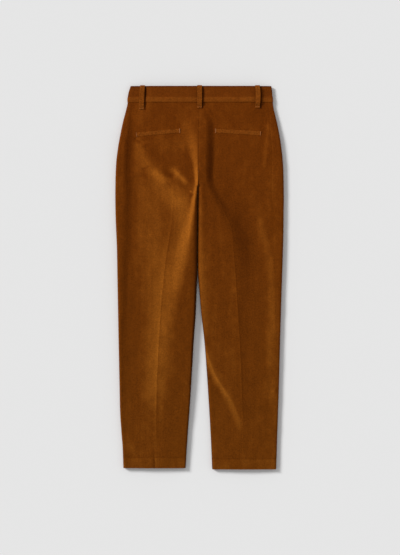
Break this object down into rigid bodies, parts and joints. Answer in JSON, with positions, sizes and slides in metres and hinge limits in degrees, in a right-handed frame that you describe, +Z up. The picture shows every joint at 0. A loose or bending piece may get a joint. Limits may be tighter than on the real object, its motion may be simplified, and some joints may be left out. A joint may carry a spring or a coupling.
{
  "type": "trousers",
  "caption": "High-waisted tapered corduroy trousers with pressed creases, belt loops and welts at the back, laid flat with the seat up.",
  "frame": {"origin": "on the surface that the trousers lie on, under the middle of their outline", "axes": "+Z up out of the seat, +Y from the hems to the waist, +X to the wearer's right"},
  "size_m": [0.4386, 0.9963, 0.0214],
  "materials": {
    "corduroy": "fine-wale cotton corduroy, golden brown sheen",
    "waistband_corduroy": "the same corduroy over a firm interlining",
    "trim_corduroy": "the same corduroy, turned and pressed hard",
    "button": "dark brown resin"
  },
  "bodies": {
    "root": {"back_panel_left": "corduroy", "back_panel_right": "corduroy", "front_panel_left": "corduroy", "front_panel_right": "corduroy", "waistband_back_left": "waistband_corduroy", "waistband_back_right": "waistband_corduroy", "waistband_front_left": "waistband_corduroy", "waistband_front_right": "waistband_corduroy", "belt_loop_back_left": "trim_corduroy", "belt_loop_back_centre": "trim_corduroy", "belt_loop_back_right": "trim_corduroy", "belt_loop_front_left": "trim_corduroy", "belt_loop_front_right": "trim_corduroy", "pocket_welt_left": "trim_corduroy", "pocket_welt_right": "trim_corduroy", "fly_shield": "corduroy", "waist_button": "button"}
  },
  "joints": []
}
